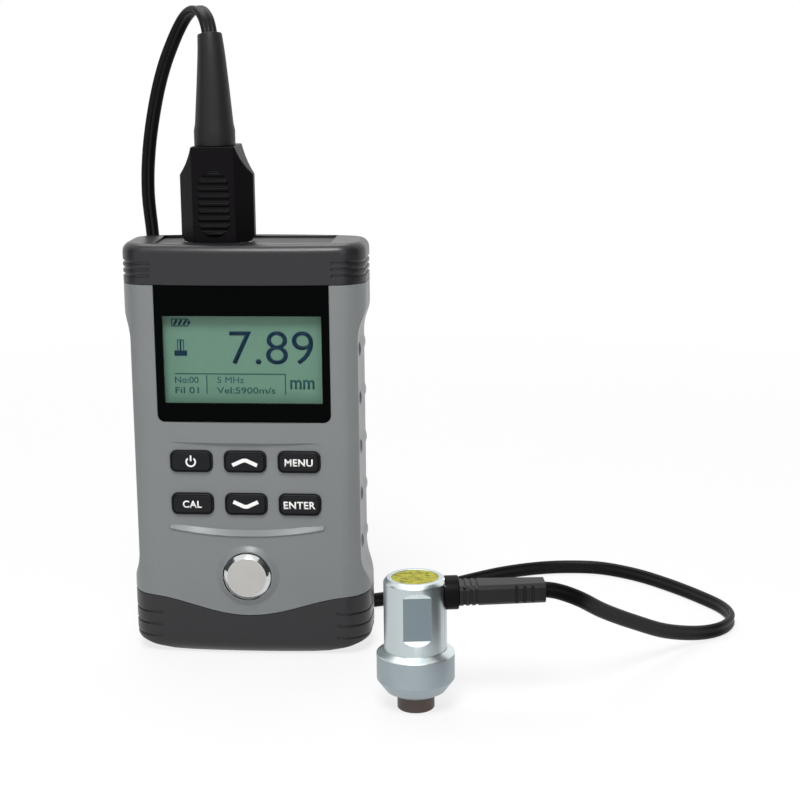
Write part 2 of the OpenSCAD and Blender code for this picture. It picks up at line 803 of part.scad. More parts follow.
module battery_link() color("#c8ccd0") {
    z = bay_high_z - contact_t;
    contact_plate(-bay_half_w + 2, bay_half_w - 2, z);
    translate([-cell_x, cell_y, z - contact_gap + slip]) 
        cylinder(d1 = bump_tip_d, d2 = bump_root_d, h = contact_gap - slip);
    coil(cell_x, z - spring_wire / 2 + 0.1, z - contact_gap + spring_wire / 2 + slip);
}

module battery_terminal_positive() color("#c8ccd0") {
    z = bay_z + contact_t;
    contact_plate(2, bay_half_w - 2, bay_z);
    translate([cell_x, cell_y, z]) 
        cylinder(d1 = bump_root_d, d2 = bump_tip_d, h = contact_gap - slip);
}

module battery_terminal_negative() color("#c8ccd0") {
    z = bay_z + contact_t;
    contact_plate(-bay_half_w + 2, -2, bay_z);
    coil(-cell_x, z + spring_wire / 2 - 0.1, z + contact_gap - spring_wire / 2 - slip);
}

module battery_door() color("#84888a") difference() {
    intersection() {
        difference() {
            barrel_form(0, 0, panel_low_z);
            barrel_form(door_t - slip, -1, body_h);
        }
        block([-door_half_w + seat, split_y, door_low_z + seat],
            [door_half_w - seat, far, door_high_z - seat]);
    }
    for (i = [0:4]) block([-8, rear_y - 0.6, door_high_z - 6 - 2 * i], [8, far, door_high_z - 5 - 2 * i]);
}

// Section of the plug, an octagon with wide corner faces
module plug_plan() {
    flat = 6.5;
    side = 1.6;
    polygon(both_sides([[flat, -plug_d / 2], [plug_w / 2, -side], [plug_w / 2, side], [flat, plug_d / 2]]));
}

// Front view of the plug, with hollow shoulders up to the neck
module plug_outline() {
    rise = plug_h - plug_straight_h;
    step = (plug_w - neck_w) / 2;
    bow = 24;
    half = sqrt(rise * rise + step * step) / 2;
    lean = atan2(rise, -step);
    turn = asin(half / bow);
    mid = [plug_w / 2 - step / 2, plug_straight_h + rise / 2];
    c = mid + sqrt(bow * bow - half * half) * [cos(lean - 90), sin(lean - 90)];
    polygon(both_sides(concat([[plug_w / 2 - 1.2, 0], [plug_w / 2, 1.6]],
        arc(c[0], c[1], bow, lean + 90 + turn, lean + 90 - turn, 5))));
}

// Oval patch of ribs on a broad face of the plug
module plug_grip() {
    pitch = 2.3;
    rib = 1.3;
    mid_z = 12;
    half = 4.8;
    rise = 5.2;
    intersection() {
        for (i = [-4:4])
            translate([0, -plug_d / 2 + 0.1, mid_z + i * pitch]) rotate([0, 90, 0])
                cylinder(d = rib, h = far, center = true);
        from_front() translate([0, mid_z]) {
            for (z = [-1, 1]) translate([0, z * rise]) circle(half);
            square([2 * half, 2 * rise], center = true);
        }
        block([-2 * half, -plug_d / 2 - rib / 2 + 0.1, 0], [2 * half, 0, far]);
    }
}

module plug_shell() color("#1a191b") translate([plug_x, 0, plug_z]) difference() {
    union() {
        intersection() {
            linear_extrude(plug_h) plug_plan();
            from_front() plug_outline();
        }
        for (side = [0, 1]) mirror([0, side, 0]) plug_grip();
    }
    for (side = [-1, 1])
        translate([side * socket_pitch / 2, 0, -1]) cylinder(d = barrel_d + 0.02, h = barrel_in + 1);
}

module plug_boot() color("#161517") {
    line = smooth([for (p = boot_line) [p[0], p[1], plug_z + plug_h + p[2]]], 3);
    last = len(line) - 1;
    skin([for (i = [0:last])
        let (z = line[i][2] - line[0][2], t = max(0, (z - boot_band_h) / (boot_h - boot_band_h)),
            d = boot_base_d + (boot_top_d - boot_base_d) * t - (t > 0 ? boot_step : 0))
        ring(line[i], tangent(line, i), [1, 0.2, 0], d / 2, d / 2, 24)]);
}

module plug_barrel(side) color("#c9b26a") at_socket(side) difference() {
    low_z = plug_z - socket_depth + 0.5;
    translate([0, 0, low_z]) cylinder(d = barrel_d, h = plug_z + barrel_in - low_z);
    translate([0, 0, low_z - 1]) cylinder(d = barrel_d - 1.5, h = plug_z - low_z + 1);
}

module plug_barrel_left() plug_barrel(-1);

module plug_barrel_right() plug_barrel(1);

module plug_pin(side) color("#d8c070") at_socket(side) {
    low_z = plug_z - socket_depth + 1.2;
    translate([0, 0, low_z]) cylinder(d = pin_d, h = plug_z - low_z);
}

module plug_pin_left() plug_pin(-1);

module plug_pin_right() plug_pin(1);

module probe_lead() color("#1b1a1c") {
    line = smooth(route, route_steps);
    spine = [for (p = line) [p[0], p[1], p[2]]];
    skin([for (i = [0:len(line) - 1])
        ring(spine[i], tangent(spine, i), [cos(line[i][3]), sin(line[i][3]), 0], lead_w / 2, lead_t / 2, 8)]);
}

module at_probe() {
    translate([probe_x, probe_y, 0]) rotate(probe_turn) children();
}

// Outlet of the probe, drawn along +X
module at_outlet() {
    at_probe() translate([0, 0, outlet_z]) children();
}

module probe_gland() color("#18181a") at_outlet() rotate([0, 90, 0]) {
    translate([0, 0, outlet_r - 1]) cylinder(d = 6, h = 3);
    translate([0, 0, outlet_r]) cylinder(d = gland_d, h = gland_l);
}

// Section of the flat boot: a box with bevelled edges
function boot_section(half) =
    let (edge = [1.2, 1], inner = half - edge)
    both_sides([[inner[0], -half[1]], [half[0], -inner[1]], [half[0], inner[1]], [inner[0], half[1]]]);

// Cut across the boot that leaves a core
module ring_cut(x, wide, core) {
    difference() {
        block([x, -far, -far], [x + wide, far, far]);
        block([x - 1, -core[0], -core[1]], [x + wide + 1, core[0], core[1]]);
    }
}

// Flat moulded boot, ringed at its root and notched towards its end
module probe_boot() color("#1a191b") at_outlet() {
    start = outlet_r + gland_l;
    stop = start + boot_l;
    root = [5, 3];
    tail = [4, 3];
    difference() {
        skin([for (e = [[start, root], [stop, tail]]) [for (p = boot_section(e[1])) [e[0], p[0], p[1]]]]);
        for (i = [0:2]) {
            ring_cut(start + 1.2 + 1.8 * i, 0.7, root - [0.5, 0.5]);
            ring_cut(stop - 9 + 2.4 * i, 0.8, [tail[0] - 0.5, far]);
        }
    }
}

module probe_housing() color("#b4bcc2") at_probe() difference() {
    rotate_extrude() {
        r = housing_d / 2;
        well = label_d / 2 + slip;
        polygon([[0, collar_high_z], [6.7, collar_high_z], [6.7, housing_low_z], [r, housing_low_z],
            [r, probe_h - 1.2], [r - 1, probe_h], [well, probe_h], [well, probe_h - label_sink],
            [0, probe_h - label_sink]]);
    }
    translate([0, 0, collar_high_z - 1]) cylinder(d = 12, h = outlet_z - collar_high_z - 1);
    translate([0, 0, outlet_z]) rotate([0, 90, 0]) cylinder(d = 6 + 2 * fit, h = far);
    translate([outlet_r, 0, outlet_z]) rotate([0, 90, 0]) cylinder(d = gland_d + 2 * fit, h = far);
    for (side = [0, 1]) mirror([0, side, 0]) rotate([90, 0, 90]) linear_extrude(far, center = true) {
        skin_y = -housing_d / 2;
        polygon([[skin_y - 1, 20.6], [skin_y, 21.8], [skin_y + flat_sink, 23.4],
            [skin_y + flat_sink, probe_h - 4], [skin_y, probe_h - 2.4], [skin_y - 1, probe_h - 1.2]]);
    }
}

module probe_collar() color("#aeb6ba") at_probe() rotate_extrude() {
    bore = housing_d / 2 + 0.02;
    rim = collar_d / 2;
    neck = tip_d / 2 + slip;
    end_z = collar_low_z - 4.9;
    polygon([[bore, collar_high_z + 1.35], [rim, collar_high_z], [rim, collar_low_z],
        [bore - 0.4, collar_low_z - 3.6], [neck + 0.8, end_z], [neck, end_z],
        [neck, housing_low_z - 0.02], [bore, housing_low_z - 0.02]]);
}

module probe_tip_sleeve() color("#2a2422") at_probe() rotate_extrude() {
    r = tip_d / 2;
    step_z = housing_low_z + 1.4;
    polygon([[r - 0.9, 0], [r - 0.4, 0], [r, 0.4], [r, housing_low_z], [6.6, housing_low_z], [6.6, step_z],
        [r - 0.9, step_z]]);
}

module probe_label_disc() color("#c9c04a") at_probe()
    translate([0, 0, probe_h - label_sink]) cylinder(d = label_d, h = label_sink - slip);

// One half of a round column, on the left or the right of the barrier
module half_column(side, d, z0, z1) {
    intersection() {
        translate([0, 0, z0]) cylinder(d = d, h = z1 - z0);
        block([side > 0 ? 0.35 : -far, -far, -1], [side > 0 ? far : -0.35, far, far]);
    }
}

module delay_line(side) color("#8a5a48") at_probe() half_column(side, tip_d - 1.9, 0, housing_low_z);

module delay_line_transmit() delay_line(-1);

module delay_line_receive() delay_line(1);

module acoustic_barrier() color("#c8a070") at_probe() intersection() {
    translate([0, 0, 0.1]) cylinder(d = tip_d - 1.9, h = collar_high_z - 0.6);
    block([-0.3, -far, 0], [0.3, far, far]);
}

module crystal(side) color("#d9d4c4") at_probe()
    half_column(side, tip_d - 2.4, housing_low_z + 0.05, housing_low_z + 0.65);

module crystal_transmit() crystal(-1);

module crystal_receive() crystal(1);

module probe_backing() color("#3c3834") at_probe() difference() {
    translate([0, 0, housing_low_z + 1.45]) cylinder(d = 11.9, h = outlet_z - 8 - housing_low_z);
    block([-0.35, -far, 0], [0.35, far, collar_high_z - 0.4]);
}

front_shell();
rear_shell();
top_cap();
bottom_cap();
connector_panel();
probe_socket_left();
probe_socket_right();
socket_nuts();
display_window();
lcd_panel();
lcd_holder();
main_board();
key_switches();
board_screws();
case_screws();
key_power();
key_up();
key_menu();
key_cal();
key_down();
key_enter();
test_disc();
test_disc_nut();
battery_left();
battery_right();
battery_link();
battery_terminal_positive();
battery_terminal_negative();
battery_door();
plug_shell();
plug_boot();
plug_barrel_left();
plug_barrel_right();
plug_pin_left();
plug_pin_right();
probe_lead();
probe_boot();
probe_gland();
probe_housing();
probe_collar();
probe_tip_sleeve();
probe_label_disc();
delay_line_transmit();
delay_line_receive();
acoustic_barrier();
crystal_transmit();
crystal_receive();
probe_backing();
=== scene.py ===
import json
import math

import bmesh
import bpy
from mathutils import Matrix, Vector


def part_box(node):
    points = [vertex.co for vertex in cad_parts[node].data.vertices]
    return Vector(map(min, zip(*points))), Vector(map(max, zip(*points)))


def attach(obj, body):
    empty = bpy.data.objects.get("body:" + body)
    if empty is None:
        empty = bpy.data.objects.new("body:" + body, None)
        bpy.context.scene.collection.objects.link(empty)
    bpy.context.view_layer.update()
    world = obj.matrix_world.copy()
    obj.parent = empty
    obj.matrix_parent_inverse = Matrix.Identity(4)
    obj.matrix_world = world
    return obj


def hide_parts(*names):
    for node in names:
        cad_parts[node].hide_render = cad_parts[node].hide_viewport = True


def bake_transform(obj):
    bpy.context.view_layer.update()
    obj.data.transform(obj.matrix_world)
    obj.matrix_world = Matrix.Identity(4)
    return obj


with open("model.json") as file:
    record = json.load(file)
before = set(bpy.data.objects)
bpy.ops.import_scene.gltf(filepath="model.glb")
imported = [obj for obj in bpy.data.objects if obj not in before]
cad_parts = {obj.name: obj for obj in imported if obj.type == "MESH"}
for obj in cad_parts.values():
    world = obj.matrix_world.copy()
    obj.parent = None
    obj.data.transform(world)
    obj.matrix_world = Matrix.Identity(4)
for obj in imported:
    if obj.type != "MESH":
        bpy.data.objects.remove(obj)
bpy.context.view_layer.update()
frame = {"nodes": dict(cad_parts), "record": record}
mm = 0.001
slotOf = {row["node"]: row["material_slot"] for row in frame["record"]["subparts"]}
bodyOf = {node: body for body, nodes in frame["record"]["behaviour"]["bodies"].items() for node in nodes}
print("frame loaded:", len(frame["nodes"]), "nodes")


# camera at the photograph's viewing angle: angles in degrees, place in mm
shot = {"lens": 81, "sensor": 36, "near": 0.01, "far": 20, "pitch": 12.387, "yaw": 4.639, "roll": -0.583,
        "place": (92.572, -553.725, 202.892)}


def makeCamera():
    pitch, yaw, roll = (math.radians(shot[k]) for k in ("pitch", "yaw", "roll"))
    ahead = Vector((-math.sin(yaw) * math.cos(pitch), math.cos(yaw) * math.cos(pitch), -math.sin(pitch)))
    right = Vector((math.cos(yaw), math.sin(yaw), 0))
    up = right.cross(ahead)
    turnedRight = math.cos(roll) * right + math.sin(roll) * up
    turnedUp = -math.sin(roll) * right + math.cos(roll) * up
    data = bpy.data.cameras.new("camera")
    data.lens, data.sensor_width = shot["lens"], shot["sensor"]
    data.clip_start, data.clip_end = shot["near"], shot["far"]
    camera = bpy.data.objects.new("camera", data)
    camera.matrix_world = Matrix((
        (turnedRight[0], turnedUp[0], -ahead[0], shot["place"][0] * mm),
        (turnedRight[1], turnedUp[1], -ahead[1], shot["place"][1] * mm),
        (turnedRight[2], turnedUp[2], -ahead[2], shot["place"][2] * mm),
        (0, 0, 0, 1)))
    bpy.context.scene.collection.objects.link(camera)
    bpy.context.scene.camera = camera


makeCamera()
print("camera set")


def tone(red, green, blue):  # screen values, 0 to 255, as linear colour
    def linear(v):
        v /= 255
        return v / 12.92 if v <= 0.04045 else ((v + 0.055) / 1.055) ** 2.4
    return linear(red), linear(green), linear(blue), 1


# shader nodes, with links or plain values for their sockets
def addNode(tree, kind, links=(), **settings):
    node = tree.nodes.new(kind)
    for label, value in settings.items():
        setattr(node, label, value)
    for socket, source in links:
        if hasattr(source, "is_output"):
            tree.links.new(source, node.inputs[socket])
        else:
            node.inputs[socket].default_value = source
    return node


def addMath(tree, operation, *values):
    return addNode(tree, "ShaderNodeMath", enumerate(values), operation=operation).outputs[0]


def addNoise(tree, place, scale, detail, rough=0.5):
    links = [("Vector", place), ("Scale", scale), ("Detail", detail), ("Roughness", rough)]
    return addNode(tree, "ShaderNodeTexNoise", links).outputs["Fac"]


def objectPlace(tree):
    return addNode(tree, "ShaderNodeTexCoord").outputs["Object"]


# shader groups that several finishes share, each giving colour, roughness and height
def startGroup(name, inputs):
    tree = bpy.data.node_groups.new(name, "ShaderNodeTree")
    for label, kind, value in inputs:
        socket = tree.interface.new_socket(label, in_out="INPUT", socket_type="NodeSocket" + kind)
        if value is not None:
            socket.default_value = value
    for label, kind in (("Colour", "Color"), ("Roughness", "Float"), ("Height", "Float")):
        tree.interface.new_socket(label, in_out="OUTPUT", socket_type="NodeSocket" + kind)
    return tree, tree.nodes.new("NodeGroupInput").outputs, tree.nodes.new("NodeGroupOutput").inputs


def endGroup(tree, given, result, change, height):  # change is a noise about zero
    shade = addMath(tree, "MULTIPLY_ADD", change, given["Shade"], 1.0)
    tint = addNode(tree, "ShaderNodeVectorMath", [(0, given["Colour"]), ("Scale", shade)], operation="SCALE")
    rough = addMath(tree, "MULTIPLY_ADD", change, given["Spread"], given["Roughness"])
    for label, source in (("Colour", tint.outputs[0]), ("Roughness", rough), ("Height", height)):
        tree.links.new(source, result[label])
    return tree


def makeMouldGrain():  # fine spark-eroded texture with faint clouding
    tree, given, result = startGroup("mouldGrain", [
        ("Vector", "Vector", None), ("Colour", "Color", (0.5, 0.5, 0.5, 1)), ("Grain", "Float", 3000),
        ("Cloud", "Float", 60), ("Shade", "Float", 0.08), ("Roughness", "Float", 0.45),
        ("Spread", "Float", 0.1)])
    grainPart = 0.35  # of the fine grain, beside the clouding
    fine = addNoise(tree, given["Vector"], given["Grain"], 2)
    wide = addNoise(tree, given["Vector"], given["Cloud"], 4)
    both = addMath(tree, "ADD", wide, addMath(tree, "MULTIPLY", fine, grainPart))
    change = addMath(tree, "SUBTRACT", both, (1 + grainPart) / 2)
    return endGroup(tree, given, result, change, fine)


def makeToolLines():  # drawn-out lines that a lathe, mill or brush leaves
    tree, given, result = startGroup("toolLines", [
        ("Vector", "Vector", None), ("Colour", "Color", (0.5, 0.5, 0.5, 1)), ("Stretch", "Vector", (1, 1, 1)),
        ("Shade", "Float", 0.15), ("Roughness", "Float", 0.3), ("Spread", "Float", 0.15)])
    drawn = addNode(tree, "ShaderNodeVectorMath", [(0, given["Vector"]), (1, given["Stretch"])],
                    operation="MULTIPLY")
    lines = addNoise(tree, drawn.outputs[0], 1.0, 5, 0.6)
    cloud = addNoise(tree, given["Vector"], 130, 3)
    change = addMath(tree, "SUBTRACT", addMath(tree, "ADD", lines, cloud), 1.0)
    return endGroup(tree, given, result, change, lines)


mouldGrain = makeMouldGrain()
toolLines = makeToolLines()
bumpDistance = 0.05  # mm, for every finish


def startFinish(name, **fixed):  # a material with its shader, and fixed values on the shader's own sockets
    material = bpy.data.materials.new(name)
    material.use_nodes = True
    tree = material.node_tree
    shader = tree.nodes["Principled BSDF"]
    for label, value in fixed.items():
        shader.inputs[label.replace("_", " ")].default_value = value
    return material, tree, shader


def groupFinish(name, group, values, depth, **fixed):
    material, tree, shader = startFinish(name, **fixed)
    effect = addNode(tree, "ShaderNodeGroup", [("Vector", objectPlace(tree)), *values.items()],
                     node_tree=group)
    bump = addNode(tree, "ShaderNodeBump", [
        ("Height", effect.outputs["Height"]), ("Strength", depth), ("Distance", bumpDistance * mm)])
    tree.links.new(effect.outputs["Colour"], shader.inputs["Base Color"])
    tree.links.new(effect.outputs["Roughness"], shader.inputs["Roughness"])
    tree.links.new(bump.outputs["Normal"], shader.inputs["Normal"])
    return material


def plastic(name, colour, rough, grain=2600, depth=0.15, shade=0.1, spread=0.12, shine=0.5):
    values = {"Colour": colour, "Grain": grain, "Roughness": rough, "Shade": shade, "Spread": spread}
    return groupFinish(name, mouldGrain, values, depth, Specular_IOR_Level=shine)


def metal(name, colour, rough, stretch, depth=0.1, shade=0.12, spread=0.15):
    values = {"Colour": colour, "Stretch": stretch, "Roughness": rough, "Shade": shade, "Spread": spread}
    return groupFinish(name, toolLines, values, depth, Metallic=1.0)


# finishes by material slot
finishes = {
    "case_plastic": plastic("caseGray", tone(117, 121, 122), 0.34, depth=0.2, shine=0.45),
    "cap_plastic": plastic("capCharcoal", tone(31, 30, 33), 0.34, grain=2000, depth=0.3, shine=0.42),
    "panel_plastic": plastic("panelCharcoal", tone(50, 50, 52), 0.5, shine=0.3),
    "connector_metal": metal("platedBrass", tone(190, 188, 181), 0.2, (200, 200, 4000)),
    "window_gloss": plastic("maskBlack", tone(3, 4, 4), 0.12, grain=400, depth=0.0, shade=0.05, spread=0.04,
                            shine=0.02),
    "holder_plastic": plastic("holderWhite", tone(205, 205, 200), 0.5),
    "board": plastic("boardGreen", tone(30, 84, 58), 0.4, grain=900, shade=0.4),
    "switch_plastic": plastic("switchBlack", tone(34, 34, 37), 0.5),
    "screw_steel": metal("screwSteel", tone(150, 152, 155), 0.3, (3000, 200, 3000)),
    "key_rubber": plastic("keyRubber", tone(22, 23, 26), 0.45, grain=3200, depth=0.2, shine=0.16),
    "disc_steel": metal("discSatin", tone(188, 187, 184), 0.32, (2600, 300, 900), depth=0.05),
    "cell_jacket": plastic("cellJacket", tone(46, 96, 136), 0.25, grain=500, depth=0.02),
    "contact_steel": metal("contactNickel", tone(200, 200, 196), 0.25, (900, 900, 3000)),
    "plug_plastic": plastic("plugBlack", tone(16, 14, 16), 0.36, depth=0.2, shine=0.05),
    "boot_rubber": plastic("bootRubber", tone(32, 31, 32), 0.45, grain=2000, depth=0.3, shine=0.2),
    "contact_brass": metal("contactGold", tone(222, 186, 112), 0.2, (3000, 3000, 300)),
    "lead_jacket": plastic("leadJacket", tone(13, 13, 14), 0.4, grain=1500, depth=0.2, shine=0.12),
    "probe_steel": metal("probeSatin", tone(194, 204, 207), 0.34, (300, 300, 5000), depth=0.02, shade=0.06,
                         spread=0.05),
    "tip_plastic": plastic("tipBrown", tone(74, 60, 54), 0.45),
    "delay_plastic": plastic("delayAmber", tone(122, 92, 78), 0.2, depth=0.05),
    "barrier_cork": plastic("barrierCork", tone(176, 140, 100), 0.8, grain=1500, shade=0.6),
    "crystal_ceramic": plastic("crystalCream", tone(205, 200, 184), 0.4),
    "backing": plastic("backingResin", tone(66, 60, 56), 0.6),
}
display = {"pixels": 2600, "dark": tone(103, 139, 121), "light": tone(107, 143, 125),
           "patches": 45, "patchTone": tone(99, 135, 117)}
labelPrint = {"specks": 520, "dark": (0.38, tone(112, 108, 26)), "light": (0.56, tone(175, 172, 57))}


def displayFinish():  # reflective liquid crystal, with its pixel grid as a faint shading
    material, tree, shader = startFinish("crystalGreen", Roughness=0.4, Specular_IOR_Level=0.2)
    place = objectPlace(tree)
    grid = addNode(tree, "ShaderNodeTexChecker", [
        ("Vector", place), ("Scale", display["pixels"]), ("Color1", display["dark"]),
        ("Color2", display["light"])])
    cloud = addNoise(tree, place, display["patches"], 2)
    soft = addNode(tree, "ShaderNodeMix", [
        ("Factor", cloud), ("A", grid.outputs["Color"]), ("B", display["patchTone"])], data_type="RGBA")
    tree.links.new(soft.outputs["Result"], shader.inputs["Base Color"])
    return material


def labelFinish():  # printed yellow-green disc with a coarse dark speckle
    material, tree, shader = startFinish("labelYellow", Roughness=0.5, Specular_IOR_Level=0.15)
    specks = addNoise(tree, objectPlace(tree), labelPrint["specks"], 4, 0.65)
    ramp = addNode(tree, "ShaderNodeValToRGB", [("Fac", specks)])
    for element, shade in zip(ramp.color_ramp.elements, ("dark", "light")):
        element.position, element.color = labelPrint[shade]
    tree.links.new(ramp.outputs["Color"], shader.inputs["Base Color"])
    return material


finishes["display_glass"] = displayFinish()
finishes["label_yellow"] = labelFinish()
inkWhite = plastic("legendWhite", tone(238, 238, 236), 0.5, depth=0.05, shade=0.03)
inkTeal = plastic("readingTeal", tone(14, 44, 62), 0.4, depth=0.0, shade=0.15, shine=0.1)
inkFaint = plastic("readingFaint", tone(40, 80, 84), 0.4, depth=0.0, shade=0.15, shine=0.1)
discPolish = metal("discPolish", tone(212, 213, 214), 0.12, (300, 300, 300), depth=0.03)
milledFlat = metal("milledFlat", tone(128, 142, 148), 0.42, (4000, 4000, 300), depth=0.15)
# a lighter copy of the probe steel for sloped faces: a turned finish with a painted highlight
turnedPaintedHighlight = metal("turnedPaintedHighlight", tone(224, 233, 234), 0.3, (300, 300, 6000), depth=0.03)
blastedCollar = metal("blastedCollar", tone(160, 171, 176), 0.46, (2500, 2500, 2500), depth=0.35, shade=0.2)
paneClear = startFinish("paneClear", Base_Color=(0.02, 0.025, 0.025, 1), Roughness=0.05, Alpha=0.04)[0]
print("finishes made:", len(bpy.data.materials))


# mesh tools: distances in metres, and the degrees between two faces
meshing = {
    "weld": 2e-6, "speck": 1e-6, "fine": 1e-7,
    "flat": 0.4,  # joined below this
    "eased": 32,  # bevelled above this
    "kept": 16,  # drawn sharp above this where the bevel is spared
    "shaded": 42,  # drawn sharp above this
    "sliceStart": 0.63,  # share of the pitch before the first slice
}


def finishPiece(name, bm, materials, body, replaced=(), weighted=True):
    mesh = bpy.data.meshes.new(name)
    bm.to_mesh(mesh)
    bm.free()
    piece = bpy.data.objects.new(name, mesh)
    bpy.context.scene.collection.objects.link(piece)
    for material in materials if isinstance(materials, (list, tuple)) else [materials]:
        mesh.materials.append(material)
    if weighted:
        modifier = piece.modifiers.new("shading", "WEIGHTED_NORMAL")
        modifier.keep_sharp = True
    if body:
        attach(piece, body)
    if replaced:
        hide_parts(*replaced)
    return piece


def weldShape(bm):
    bmesh.ops.remove_doubles(bm, verts=bm.verts, dist=meshing["weld"])
    bmesh.ops.dissolve_degenerate(bm, dist=meshing["speck"], edges=bm.edges)


def joinFlats(bm):
    bmesh.ops.dissolve_limit(bm, angle_limit=math.radians(meshing["flat"]), verts=bm.verts, edges=bm.edges)


def nodeShape(node):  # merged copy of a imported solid, with flat facets joined
    bm = bmesh.new()
    bm.from_mesh(frame["nodes"][node].data)
    for layer in list(bm.loops.layers.uv):
        bm.loops.layers.uv.remove(layer)
    weldShape(bm)
    joinFlats(bm)
    return bm


def sliceShape(bm, pitch):  # cuts long facets across, so that eased edges stay local and shading stays even
    for axis in (2, 0):
        low, high = min(v.co[axis] for v in bm.verts), max(v.co[axis] for v in bm.verts)
        for k in range(int((high - low) / (pitch * mm))):
            spot, way = Vector(), Vector()
            spot[axis], way[axis] = low + (k + meshing["sliceStart"]) * pitch * mm, 1
            bmesh.ops.bisect_plane(bm, geom=[*bm.verts, *bm.edges, *bm.faces], plane_co=spot, plane_no=way,
                                   dist=meshing["fine"])


def sharpEdges(bm, angle):
    return [e for e in bm.edges if len(e.link_faces) == 2 and e.calc_face_angle(0) > math.radians(angle)]


def edgeMiddle(edge):  # in mm
    return (edge.verts[0].co + edge.verts[1].co) / 2 / mm


def smoothFaces(bm, angle=meshing["shaded"]):
    for face in bm.faces:
        face.smooth = True
    for edge in bm.edges:
        edge.smooth = not (len(edge.link_faces) == 2 and edge.calc_face_angle(0) > math.radians(angle))


def softenEdges(bm, width, steps=2, spare=None):
    if width:
        chosen = [e for e in sharpEdges(bm, meshing["eased"]) if not (spare and spare(edgeMiddle(e)))]
        bmesh.ops.bevel(bm, geom=chosen, offset=width * mm, offset_type="OFFSET", affect="EDGES",
                        segments=steps, profile=0.5, material=-1, clamp_overlap=False)
    smoothFaces(bm)
    for edge in sharpEdges(bm, meshing["kept"]) if spare else ():
        if spare(edgeMiddle(edge)):
            edge.smooth = False


def dressNode(node, width, steps=2, pitch=None, extra=(), choose=None, spare=None, shape=None):
    bm = nodeShape(node)
    if shape:
        bm = shape(bm)
    if pitch:
        sliceShape(bm, pitch)
    softenEdges(bm, width, steps, spare)
    if choose:
        for face in bm.faces:
            face.material_index = choose(face)
    slot = slotOf[node]
    words = node.split("_")
    name = words[0] + "".join(w.capitalize() for w in words[1:])
    return finishPiece(name, bm, [finishes[slot], *extra], bodyOf[node], [node])


def joinShape(target, part):
    mesh = bpy.data.meshes.new("part")
    part.to_mesh(mesh)
    part.free()
    target.from_mesh(mesh)
    bpy.data.meshes.remove(mesh)


def ringEdges(bm, ring):
    return [bm.edges.new((ring[k], ring[k - 1])) for k in range(len(ring))]


def closeTube(bm, rings):  # a solid through rings of vertices
    loops = [ringEdges(bm, ring) for ring in rings]
    for here, there in zip(loops, loops[1:]):
        bmesh.ops.bridge_loops(bm, edges=here + there)
    for end in (loops[0], loops[-1]):
        bmesh.ops.edgeloop_fill(bm, edges=end)
    bmesh.ops.recalc_face_normals(bm, faces=bm.faces)


def thicken(bm, depth):  # gives flat faces on the front a depth in mm, to the back where it is positive
    grown = bmesh.ops.extrude_face_region(bm, geom=list(bm.faces))["geom"]
    moved = [v for v in grown if isinstance(v, bmesh.types.BMVert)]
    bmesh.ops.translate(bm, verts=moved, vec=(0, depth * mm, 0))
    bmesh.ops.recalc_face_normals(bm, faces=bm.faces)


def settledMesh(holder):  # the mesh of text, or of a piece with its modifiers
    bpy.context.view_layer.update()
    return bpy.data.meshes.new_from_object(holder.evaluated_get(bpy.context.evaluated_depsgraph_get()))


# lead from the plug to the probe: place in mm, and the heading of its width
lead = {
    "width": 4.8, "thick": 2.4, "steps": 5, "length": 0.55,
    "flatUntil": 18, "edgeFrom": 21,  # points of the route between which it turns on edge for its loop
    "route": [
        (-9.4, 0.9, 191.2, 4), (-10.1, 2.5, 195.9, 4), (-11.7, 5.5, 199.8, 10), (-14.3, 9.6, 202, 18),
        (-17.7, 14.1, 201.6, 28), (-21.1, 17.5, 198.5, 36), (-24.7, 19.2, 192.3, 41),
        (-28.2, 18.7, 183.4, 44), (-31.4, 19.2, 172, 46), (-34, 20, 158, 48), (-35, 20.8, 144, 52),
        (-34, 21.4, 126, 58), (-34.6, 22, 100, 66), (-33.4, 22.8, 72, 74), (-31.4, 24.2, 46, 80),
        (-28, 26, 26, 85), (-22.6, 28.2, 12, 90), (-14, 30, 4.2, 93), (-2, 31.2, 1.4, 94), (16, 32, 2.1, 96),
        (35.5, 35, 2.5, 106), (52, 45.4, 2.5, 126), (67, 58.6, 2.45, 129), (79, 67.8, 2.45, 122),
        (92, 74, 2.45, 107), (104, 76, 2.45, 92), (115, 74.6, 2.45, 74), (127, 67.2, 2.45, 51),
        (138, 55.8, 2.45, 41), (147, 44, 2.45, 37), (153.6, 33, 2.45, 22), (155.6, 22, 2.45, -6),
        (151.6, 12, 2.6, -40), (143.4, 4.2, 3.6, -48), (132, -8.6, 8.6, -42), (121.4, -21.8, 16, -42),
        (111.4, -35, 24, -46), (104.2, -44.3, 30.7, -58), (98.4, -47.8, 34, -76), (93.9, -49.15, 35.2, -82),
        (89, -49.83, 35.2, -82)],
}


def smoothRoute(points, steps):
    line = []
    last = len(points) - 1
    for i in range(last):
        a, b, c, d = (points[max(0, min(last, i + k))] for k in (-1, 0, 1, 2))
        for s in range(steps):
            t = s / steps
            line.append(tuple(
                q + 0.5 * t * (r - p + t * (2 * p - 5 * q + 4 * r - w + t * (3 * (q - r) + w - p)))
                for p, q, r, w in zip(a, b, c, d)))
    return line + [points[last]]


def twinSection():  # two cores side by side, joined by a web
    core = lead["thick"] / 2
    apart = lead["width"] / 2 - core
    angles = [math.radians(a) for a in range(-135, 136, 30)]
    half = [(apart + core * math.cos(a), core * math.sin(a)) for a in angles]
    return half + [(-x, -y) for x, y in half]


